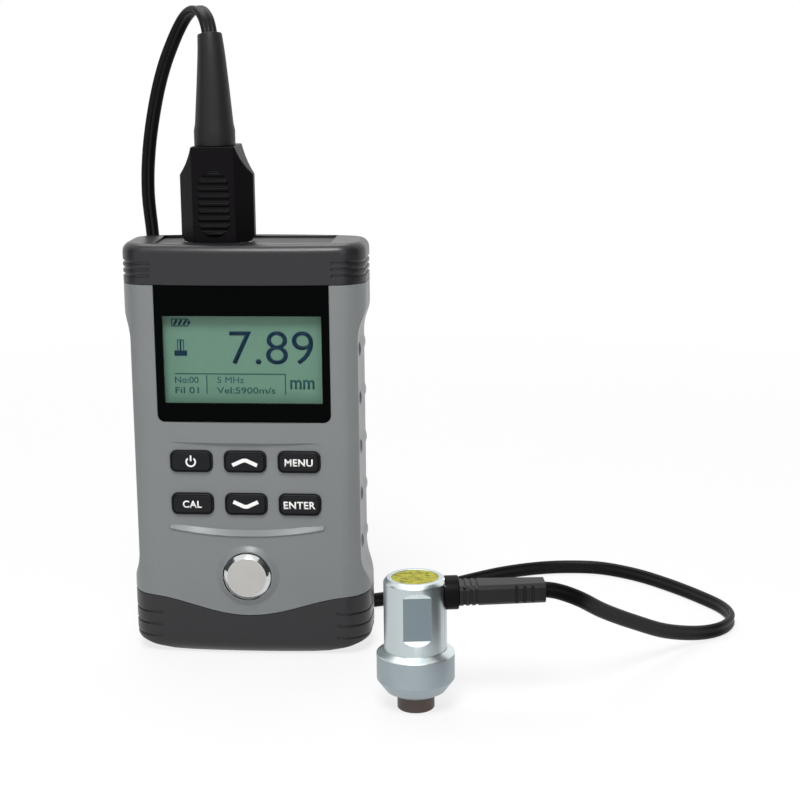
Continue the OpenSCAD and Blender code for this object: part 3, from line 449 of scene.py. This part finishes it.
def sweepSection(bm, line, section):  # a closed section carried along a line of places, headings and turns
    rings = []
    spots = [Vector(p[:3]) for p in line]
    for i, spot in enumerate(spots):
        ahead = (spots[min(i + 1, len(spots) - 1)] - spots[max(i - 1, 0)]).normalized()
        heading, turn = (math.radians(angle) for angle in line[i][3:])
        level = Vector((math.cos(heading), math.sin(heading), 0))
        across = (level - level.dot(ahead) * ahead).normalized()
        across = Matrix.Rotation(turn, 3, ahead) @ across
        up = across.cross(ahead)
        rings.append([bm.verts.new((spot + x * across - y * up) * mm) for x, y in section])
    closeTube(bm, rings)


def makeLead():
    first, last = lead["flatUntil"], lead["edgeFrom"]
    turns = [90 * min(1, max(0, (k - first) / (last - first))) for k in range(len(lead["route"]))]
    line = smoothRoute([(*spot, turn) for spot, turn in zip(lead["route"], turns)], lead["steps"])
    bm = bmesh.new()
    sweepSection(bm, line, twinSection())
    smoothFaces(bm, 70)
    piece = finishPiece("probeLead", bm, finishes["lead_jacket"], None, ["probe_lead"],
                        weighted=False)
    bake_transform(piece)
    return piece, [Vector(p[:3]) * mm for p in line]


leadPiece, leadPath = makeLead()
print("lead laid")


# probe: its place in mm, and the height and reach of the flats milled in its housing
probe = {"x": 55.9, "y": -54.5, "turn": 8, "flatsAbove": 22.5, "flatsWithin": 8.5}
flatWay = Vector((math.sin(math.radians(probe["turn"])), -math.cos(math.radians(probe["turn"])), 0))
facing = {"flat": 0.995, "sloped": 0.25, "level": 0.97}  # how far a face's normal points one way


def housingFinish(face):  # milled flats, and a painted highlight on their sloped runouts and on the sloped rim
    centre = face.calc_center_median()
    if abs(face.normal.dot(flatWay)) > facing["flat"] and centre.z > probe["flatsAbove"] * mm:
        away = centre - Vector((probe["x"], probe["y"], 0)) * mm
        if abs(away.dot(flatWay)) < probe["flatsWithin"] * mm:
            return 1
    return 2 if facing["sloped"] < abs(face.normal.z) < facing["level"] else 0


def collarFinish(face):  # turned chamfer facing up, lightened by a painted highlight, above a blasted wall
    return 1 if face.normal.z > facing["sloped"] else 2


# lip under the keypad (mm): its arc about a centre high above, on the crowned front, and its slope
lip = {
    "centre": 181.01, "radius": 140.0, "half": 24.45, "crown": 280.0, "front": -15.0, "floor": -13.9,
    "inner": 137.6, "foot": 139.4, "top": 141.0, "stations": 33,
    "out": 0.5, "clear": -18,  # how far the cut runs past the front, and where it ends in the open
    "rise": 0.5,  # height of the lip from which the slope has its full length
}
spared = {
    "front": -12,
    "slope": 25, "below": 0.2, "above": 0.15,  # half of the slope's width, and the room round it
    "ends": ((22.5, 28), (42, 50)),  # where the keypad runs out to nothing
}


def lipArc(x, radius):
    return lip["centre"] - math.sqrt(radius ** 2 - x ** 2)


def lipEnd(spot):  # edges that stay as they are
    away = math.hypot(spot.x, lip["centre"] - spot.z)
    onArc = lip["inner"] - spared["below"] < away < lip["top"] + spared["above"]
    onSlope = onArc and abs(spot.x) < spared["slope"]
    (near, far), (low, high) = spared["ends"]
    atEnd = near < abs(spot.x) < far and low < spot.z < high
    return spot.y < spared["front"] and (onSlope or atEnd)


def cutAway(bm, cutter):
    holders = []
    for name, part in (("kept", bm), ("cutter", cutter)):
        mesh = bpy.data.meshes.new(name)
        part.to_mesh(mesh)
        part.free()
        holders.append(bpy.data.objects.new(name, mesh))
        bpy.context.scene.collection.objects.link(holders[-1])
    kept, knife = holders
    modifier = kept.modifiers.new("cut", "BOOLEAN")
    modifier.operation, modifier.solver, modifier.object = "DIFFERENCE", "EXACT", knife
    mesh = settledMesh(kept)
    left = bmesh.new()
    left.from_mesh(mesh)
    for used in (mesh, kept.data, knife.data):
        bpy.data.meshes.remove(used)
    weldShape(left)
    return left


def shapeLip(bm):  # carries the keypad's floor to the lip, and slopes the lip's face down to it
    cutter = bmesh.new()
    rings = []
    for k in range(-lip["stations"], lip["stations"] + 1):
        x = lip["half"] * k / lip["stations"]
        surface = lip["front"] + lip["crown"] - math.sqrt(lip["crown"] ** 2 - x ** 2)
        full = min(1, max(0, lip["floor"] - surface) / lip["rise"])
        foot = lip["radius"] + (lip["foot"] - lip["radius"]) * full
        section = [(lip["inner"], lip["floor"]), (foot, lip["floor"]), (lip["top"], surface - lip["out"]),
                   (lip["top"], lip["clear"]), (lip["inner"], lip["clear"])]
        rings.append([cutter.verts.new((x * mm, y * mm, lipArc(x, r) * mm)) for r, y in section])
    closeTube(cutter, rings)
    return cutAway(bm, cutter)


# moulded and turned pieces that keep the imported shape, with their edges eased (mm)
easedEdges = {
    "front_shell": 0.25, "rear_shell": 0.25, "battery_door": 0.25, "top_cap": 0.22, "bottom_cap": 0.22,
    "connector_panel": 0.2, "probe_socket_left": 0.15, "probe_socket_right": 0.15, "socket_nuts": 0.2,
    "lcd_panel": 0.1, "lcd_holder": 0.1, "main_board": 0.1, "key_switches": 0.1, "board_screws": 0.1,
    "case_screws": 0.12, "test_disc_nut": 0.2, "battery_left": 0.3, "battery_right": 0.3, "battery_link": 0,
    "battery_terminal_positive": 0.05, "battery_terminal_negative": 0, "plug_shell": 0.35, "plug_boot": 0.2,
    "plug_barrel_left": 0.15, "plug_barrel_right": 0.15, "plug_pin_left": 0.1, "plug_pin_right": 0.1,
    "probe_boot": 0.15, "probe_gland": 0.4, "probe_housing": 0.18, "probe_collar": 0.2,
    "probe_tip_sleeve": 0.1, "probe_label_disc": 0.1, "delay_line_transmit": 0.05, "delay_line_receive": 0.05,
    "acoustic_barrier": 0, "crystal_transmit": 0, "crystal_receive": 0, "probe_backing": 0.1,
}
special = {
    "front_shell": {"pitch": 5, "spare": lipEnd, "shape": shapeLip},
    "rear_shell": {"pitch": 5},
    "battery_door": {"pitch": 5},
    "probe_housing": {"extra": (milledFlat, turnedPaintedHighlight), "choose": housingFinish},
    "probe_collar": {"extra": (turnedPaintedHighlight, blastedCollar), "choose": collarFinish},
}
dressed = {node: dressNode(node, width, **special.get(node, {})) for node, width in easedEdges.items()}
print("eased pieces:", len(dressed))


# flat drawing on the front: places in mm, x to the right and y up
inkThick = 0.05


def layFlat(bm, x, y, plane):  # stands a drawing up on a plane of the front, with a little thickness
    place = Matrix.Translation((x * mm, plane * mm, y * mm)) @ Matrix.Rotation(math.pi / 2, 4, "X")
    bmesh.ops.transform(bm, verts=bm.verts, matrix=place)
    thicken(bm, -inkThick)
    return bm


# height in mm of the sample's letters, and the width of all the words
def letters(words, height, weight=0.0, wide=None, spacing=1.0, sample=None):
    def outline(text):
        curve = bpy.data.curves.new("letters", "FONT")
        curve.body, curve.offset, curve.resolution_u, curve.space_character = text, weight, 4, spacing
        holder = bpy.data.objects.new("letters", curve)
        bpy.context.scene.collection.objects.link(holder)
        mesh = settledMesh(holder)
        bpy.data.objects.remove(holder)
        bpy.data.curves.remove(curve)
        return mesh
    measured, mesh = outline(sample or words), outline(words)
    low, high = (end(v.co.y for v in measured.vertices) for end in (min, max))
    left, right = (end(v.co.x for v in mesh.vertices) for end in (min, max))
    size = height * mm / (high - low)
    bm = bmesh.new()
    bm.from_mesh(mesh)
    bmesh.ops.translate(bm, verts=bm.verts, vec=(-(left + right) / 2, -(low + high) / 2, 0))
    bmesh.ops.scale(bm, verts=bm.verts, vec=(wide * mm / (right - left) if wide else size, size, 1))
    bmesh.ops.remove_doubles(bm, verts=bm.verts, dist=meshing["fine"])
    for used in (measured, mesh):
        bpy.data.meshes.remove(used)
    return bm


def stroke(points, width, mitre=0.3):  # flat ribbon along a line of points
    bm = bmesh.new()
    spots = [Vector((x, y, 0)) for x, y in points]
    sides = []
    for i, spot in enumerate(spots):
        before = (spot - spots[i - 1]).normalized() if i else (spots[1] - spots[0]).normalized()
        after = (spots[i + 1] - spot).normalized() if i < len(spots) - 1 else before
        along = (before + after).normalized()
        out = Vector((-along.y, along.x, 0)) * (width / 2) / max(mitre, along.dot(after))
        sides.append((bm.verts.new((spot + out) * mm), bm.verts.new((spot - out) * mm)))
    for a, b in zip(sides, sides[1:]):
        bm.faces.new((a[0], a[1], b[1], b[0]))
    bmesh.ops.recalc_face_normals(bm, faces=bm.faces)
    if bm.faces[:][0].normal.z < 0:
        bmesh.ops.reverse_faces(bm, faces=bm.faces)
    return bm


def arcPoints(radius, start, stop, count):
    angles = [math.radians(start + (stop - start) * i / count) for i in range(count + 1)]
    return [(radius * math.cos(a), radius * math.sin(a)) for a in angles]


# keys: pads with eased edges, and white legends
keypad = {
    "face": -15.0, "lift": 0.02, "round": 0.45, "steps": 4,
    "legends": {"power": None, "up": None, "menu": "MENU", "cal": "CAL", "down": None, "enter": "ENTER"},
    "letters": {"height": 2.36, "weight": 0.024, "spacing": 1.06},
    "powerRing": (1.42, 130, 410, 24), "powerBar": [(0, 0.25), (0, 2.1)], "powerLine": 0.5,
    "arrow": [(-3.9, -0.95), (-0.5, 0.6), (0.5, 0.6), (3.9, -0.95)], "arrowLine": 1.2,
}


def keyLegend(key, words):
    if words:
        return [letters(words, **keypad["letters"])]
    if key == "power":
        lines = arcPoints(*keypad["powerRing"]), keypad["powerBar"]
        return [stroke(line, keypad["powerLine"]) for line in lines]
    way = 1 if key == "up" else -1
    return [stroke([(x, y * way) for x, y in keypad["arrow"]], keypad["arrowLine"])]


def makeKeys():
    for key, words in keypad["legends"].items():
        node = "key_" + key
        dressNode(node, keypad["round"], keypad["steps"])
        low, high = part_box(node)
        x, z = (low.x + high.x) / 2 / mm, (low.z + high.z) / 2 / mm
        bm = bmesh.new()
        for part in keyLegend(key, words):
            joinShape(bm, layFlat(part, x, z, keypad["face"] + keypad["lift"]))
        finishPiece("keyLegend" + key.capitalize(), bm, inkWhite, node, weighted=False)


makeKeys()
print("keys made")


# window (mm): black mask round an opening, a clear pane in it, and the reading on the display behind
window = {"wide": 54.2, "low": 76.5, "high": 119.4, "corner": 2.2, "cornerSteps": 8, "ease": 0.15,
          "front": -13.9, "back": -12.6, "view": (-24.75, 82.35, 24.75, 109.85), "pane": 0.5, "recess": 0.15}


def makeMask():
    half, low, high, corner = window["wide"] / 2, window["low"], window["high"], window["corner"]
    outer = [(half, high), (-half, high)]
    for side, start in ((corner - half, 180), (half - corner, 270)):
        outer += [(side + x, low + corner + y)
                  for x, y in arcPoints(corner, start, start + 90, window["cornerSteps"])]
    x0, z0, x1, z1 = window["view"]
    bm = bmesh.new()
    edges = []
    for outline in (outer, [(x0, z0), (x1, z0), (x1, z1), (x0, z1)]):
        edges += ringEdges(bm, [bm.verts.new((x * mm, window["front"] * mm, z * mm)) for x, z in outline])
    bmesh.ops.triangle_fill(bm, use_beauty=True, edges=edges, normal=(0, -1, 0))
    joinFlats(bm)
    thicken(bm, window["back"] - window["front"])
    softenEdges(bm, window["ease"])
    finishPiece("windowMask", bm, finishes["window_gloss"], "gauge", ["display_window"])


def makePane():
    x0, z0, x1, z1 = window["view"]
    y = window["front"] + window["recess"] + window["pane"] / 2
    bm = bmesh.new()
    bmesh.ops.create_cube(bm, size=1)
    bmesh.ops.scale(bm, verts=bm.verts, vec=((x1 - x0) * mm, window["pane"] * mm, (z1 - z0) * mm))
    bmesh.ops.translate(bm, verts=bm.verts, vec=((x0 + x1) / 2 * mm, y * mm, (z0 + z1) / 2 * mm))
    finishPiece("windowPane", bm, paneClear, "gauge", weighted=False)


makeMask()
makePane()


# what the display reads (mm), from the view's left and top edges:
# letters with their place, height, width and weight, and lines with their width and points
reading = {
    "plane": -10.8,
    "dark": {
        "letters": [("7.89", 33.5, 10.35, 10.5, 26.2, -0.005)],
        "lines": [
            (1.7, (3.0, 12.15), (7.0, 12.15)), (0.5, (5.0, 8.0), (5.0, 11.3)),  # probe mark
            (0.3, (2.5, 1.4), (7.6, 1.4), (7.6, 3.6), (2.5, 3.6), (2.5, 1.25)),  # battery mark
            (1.1, (7.7, 2.5), (8.3, 2.5)),
            *((0.75, (x, 3.3), (x + 1, 1.7)) for x in (3.1, 4.6, 6.1))],
    },
    "faint": {
        "letters": [
            ("mm", 42.9, 21.9, 3.0, 7.6, 0.016), ("No:00", 6.6, 20.6, 2.0, 7.4, 0.008),
            ("Fil 01", 6.6, 23.9, 2.0, 7.4, 0.008), ("5 MHz", 20.4, 20.6, 2.0, 8.4, 0.0),
            ("Vel:5900m/s", 25.2, 23.9, 2.0, 18.4, 0.008)],
        "lines": [
            (0.35, (2.8, 18.7), (37.8, 18.7)), (0.35, (12.9, 19.2), (12.9, 25.0)),
            (0.35, (37.6, 18.7), (37.6, 25.2)), (0.35, (4.1, 8.0), (4.1, 11.2)),
            (0.35, (5.9, 8.0), (5.9, 11.2)), (0.35, (3.9, 8.0), (6.1, 8.0))],
    },
}


def makeReading():
    left, top = window["view"][0], window["view"][3]
    for name, ink in (("dark", inkTeal), ("faint", inkFaint)):
        bm = bmesh.new()
        for words, x, y, height, wide, weight in reading[name]["letters"]:
            drawn = letters(words, height, weight, wide, sample="m" if words == "mm" else "0")
            joinShape(bm, layFlat(drawn, left + x, top - y, reading["plane"]))
        for width, *points in reading[name]["lines"]:
            drawn = stroke([(x, -y) for x, y in points], width)
            joinShape(bm, layFlat(drawn, left, top, reading["plane"]))
        finishPiece("reading" + name.capitalize(), bm, ink, "gauge", weighted=False)


makeReading()
print("window and reading made")


# test disc (mm): satin face, polished chamfer and side, from a profile of radius and depth
disc = {
    "z": 27.0, "face": -17.6, "satin": 0.02, "steps": 96, "shaded": 25,
    "profile": [(0, 0), (6.15, 0), (6.3, 0.06), (7.36, 1.06), (7.5, 1.28), (7.5, 2.4), (3, 2.4),
                (3, 9.2), (0, 9.2)],
}


def makeDisc():
    bm = bmesh.new()
    spots = [bm.verts.new((r * mm, (disc["face"] + d) * mm, disc["z"] * mm)) for r, d in disc["profile"]]
    edges = [bm.edges.new(pair) for pair in zip(spots, spots[1:])]
    bmesh.ops.spin(bm, geom=spots + edges, cent=(0, 0, disc["z"] * mm), axis=(0, 1, 0), angle=math.tau,
                   steps=disc["steps"], use_merge=True)
    bmesh.ops.remove_doubles(bm, verts=bm.verts, dist=meshing["speck"])
    bmesh.ops.recalc_face_normals(bm, faces=bm.faces)
    for face in bm.faces:
        face.material_index = 0 if face.calc_center_median().y < (disc["face"] + disc["satin"]) * mm else 1
    smoothFaces(bm, disc["shaded"])
    finishPiece("testDisc", bm, [finishes["disc_steel"], discPolish], "gauge", ["test_disc"])


makeDisc()
print("disc made")


# floor, light and background, in metres
studio = {
    "floor": tone(240, 240, 240), "floorSize": 6, "world": 0.26, "glow": 0.78, "fade": (0.12, 0.6),
    "aim": (0.02, 0, 0.08),
    "lamps": {  # power, size and place
        "keyLight": (11.0, 0.5, (0.0, -0.7, 1.0)),
        "fillLight": (1.4, 0.7, (0.7, -0.75, 0.4)),
        "backLight": (4.0, 0.7, (-0.1, 0.4, 0.95)),
    },
    "cardTone": tone(58, 60, 62),
    "cards": {  # two opposite corners
        "cardRight": ((0.55, -0.7, 0.0), (0.55, 0.1, 0.8)),
        "cardLeft": ((-0.55, -0.25, 0.0), (-0.55, 0.06, 0.46)),
        "cardLow": ((0.12, -0.17, 0.0), (0.12, -0.042, 0.1)),
    },
}
white = (1, 1, 1, 1)


def areaLight(name, power, size, place):
    data = bpy.data.lights.new(name, "AREA")
    data.energy, data.size, data.shape = power, size, "DISK"
    lamp = bpy.data.objects.new(name, data)
    lamp.location = place
    lamp.rotation_euler = (Vector(studio["aim"]) - Vector(place)).to_track_quat("-Z", "Y").to_euler()
    bpy.context.scene.collection.objects.link(lamp)


def seenDirectly(tree):  # camera, glossy and transmitted rays
    rays = addNode(tree, "ShaderNodeLightPath").outputs
    first = addMath(tree, "MAXIMUM", rays["Is Camera Ray"], rays["Is Glossy Ray"])
    return addMath(tree, "MAXIMUM", first, rays["Is Transmission Ray"])


def mixShaders(tree, part, one, other):
    links = enumerate((part, one.outputs[0], other.outputs[0]))
    return addNode(tree, "ShaderNodeMixShader", links).outputs[0]


def makeWorld():
    world = bpy.data.worlds.new("studio")
    bpy.context.scene.world = world
    world.use_nodes = True
    tree = world.node_tree
    plain = tree.nodes["Background"]
    plain.inputs["Color"].default_value, plain.inputs["Strength"].default_value = white, studio["world"]
    bright = addNode(tree, "ShaderNodeBackground", [("Color", white), ("Strength", 1.0)])
    mixed = mixShaders(tree, seenDirectly(tree), plain, bright)
    tree.links.new(mixed, tree.nodes["World Output"].inputs["Surface"])


def makeFloor():  # pale, whitening away from the object, so that only a soft shadow shows
    material, tree, shader = startFinish("floorPale", Base_Color=studio["floor"], Roughness=0.9,
                                         Specular_IOR_Level=0.1)
    reach = addNode(tree, "ShaderNodeVectorMath", [(0, objectPlace(tree))], operation="LENGTH")
    faded = addNode(tree, "ShaderNodeMapRange", [
        ("Value", reach.outputs["Value"]), ("From Min", studio["fade"][0]), ("From Max", studio["fade"][1]),
        ("To Min", studio["glow"]), ("To Max", 1.0)])
    glow = addNode(tree, "ShaderNodeEmission", [("Color", white), ("Strength", 1.0)])
    part = addMath(tree, "MULTIPLY", seenDirectly(tree), faded.outputs["Result"])
    mixed = mixShaders(tree, part, shader, glow)
    tree.links.new(mixed, tree.nodes["Material Output"].inputs["Surface"])
    bm = bmesh.new()
    bmesh.ops.create_grid(bm, x_segments=1, y_segments=1, size=studio["floorSize"])
    finishPiece("floor", bm, material, None, weighted=False)


def makeCards():  # dark cards that only shiny faces see
    material = startFinish("cardDark", Base_Color=studio["cardTone"], Roughness=0.9)[0]
    for name, (low, high) in studio["cards"].items():
        bm = bmesh.new()
        bm.faces.new([bm.verts.new(p) for p in (low, (*high[:2], low[2]), high, (*low[:2], high[2]))])
        card = finishPiece(name, bm, material, None, weighted=False)
        card.visible_camera = card.visible_diffuse = card.visible_shadow = False


def makeStudio():
    makeWorld()
    makeFloor()
    makeCards()
    for name, (power, size, place) in studio["lamps"].items():
        areaLight(name, power, size, place)
    bpy.context.scene.view_settings.view_transform = "Standard"


makeStudio()
print("studio set")
